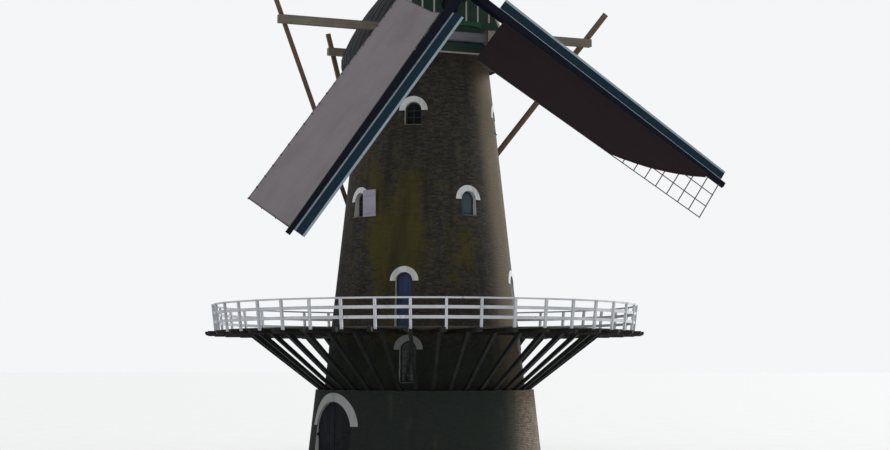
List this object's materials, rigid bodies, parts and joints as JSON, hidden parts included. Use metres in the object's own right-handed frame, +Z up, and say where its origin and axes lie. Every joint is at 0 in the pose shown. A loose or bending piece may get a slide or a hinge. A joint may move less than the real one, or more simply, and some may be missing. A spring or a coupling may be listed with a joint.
{
  "type": "tower windmill",
  "caption": "Round brick tower windmill with a raised gallery, a turning cap with tail braces and pole, and cloth-spread lattice sails.",
  "frame": {"origin": "on the tower axis at ground level", "axes": "+Z up, the sails face -Y, +X to the right as seen from the front"},
  "size_m": [20.0566, 16.8768, 27.7318],
  "materials": {
    "brick": "weathered brickwork",
    "ground_brick": "brick floor",
    "timber": "plain timber",
    "white_plaster": "painted",
    "white_paint": "painted",
    "window_glass": "dark panes",
    "blue_paint": "painted",
    "dark_green_paint": "painted",
    "tarred_wood": "tarred",
    "hinge_iron": "painted",
    "roof_felt": "tarred boards",
    "green_paint": "painted",
    "weathered_wood": "weathered",
    "shaft_iron": "painted",
    "stock_paint": "satin",
    "teal_paint": "painted",
    "lattice_wood": "painted",
    "light_cloth": "woven",
    "dark_cloth": "woven"
  },
  "bodies": {
    "tower": {"arch_bands": "white_plaster", "base_wall_back": "brick", "base_wall_front": "brick", "base_wall_left_of_door": "brick", "base_wall_over_door": "brick", "base_wall_right": "brick", "base_wall_right_of_door": "brick", "curb_ring": "timber", "door_pintles": "hinge_iron", "floors": "timber", "gallery_deck": "tarred_wood", "gallery_doors": "blue_paint", "gallery_joists": "tarred_wood", "gallery_railing": "white_paint", "gallery_struts": "tarred_wood", "ground_floor": "ground_brick", "shutters": "white_paint", "tower_wall_back": "brick", "tower_wall_front": "brick", "tower_wall_left": "brick", "tower_wall_right": "brick", "window_frames": "white_paint", "window_panes": "window_glass"},
    "cap": {"beard_board": "green_paint", "cap_base": "timber", "cap_beams": "timber", "cap_front_boarding": "green_paint", "cap_rear_boarding": "green_paint", "cap_roof": "roof_felt", "long_braces": "weathered_wood", "long_spreader": "weathered_wood", "neck_beam": "timber", "short_braces": "weathered_wood", "short_spreader": "weathered_wood", "tail_bearing_beam": "timber", "tail_pole": "weathered_wood", "winding_winch": "weathered_wood"},
    "sails": {"windshaft": "shaft_iron", "front_stock": "stock_paint", "rear_stock": "stock_paint", "leading_boards": "teal_paint", "upper_right_lattice": "lattice_wood", "upper_right_cloth": "light_cloth", "upper_left_lattice": "lattice_wood", "upper_left_cloth": "dark_cloth", "lower_left_lattice": "lattice_wood", "lower_left_cloth": "light_cloth", "lower_right_lattice": "lattice_wood", "lower_right_cloth": "dark_cloth"},
    "left_door": {"door_leaf_left": "dark_green_paint"},
    "right_door": {"door_leaf_right": "dark_green_paint"}
  },
  "joints": [
    {"name": "cap_turn", "type": "hinge", "parent": "tower", "child": "cap", "pos_m": [0, 0, 15.75], "axis": [0, 0, 1], "continuous": true},
    {"name": "sail_turn", "type": "hinge", "parent": "cap", "child": "sails", "pos_m": [0, -4.5, 17.9], "axis": [0, -0.9744, 0.225], "continuous": true},
    {"name": "left_door_swing", "type": "hinge", "parent": "tower", "child": "left_door", "pos_m": [-4.33622, -0.2016, 0], "axis": [0, 0, -1], "range_deg": [0, 90]},
    {"name": "right_door_swing", "type": "hinge", "parent": "tower", "child": "right_door", "pos_m": [-3.68378, -2.29635, 0], "axis": [0, 0, 1], "range_deg": [0, 90]}
  ]
}
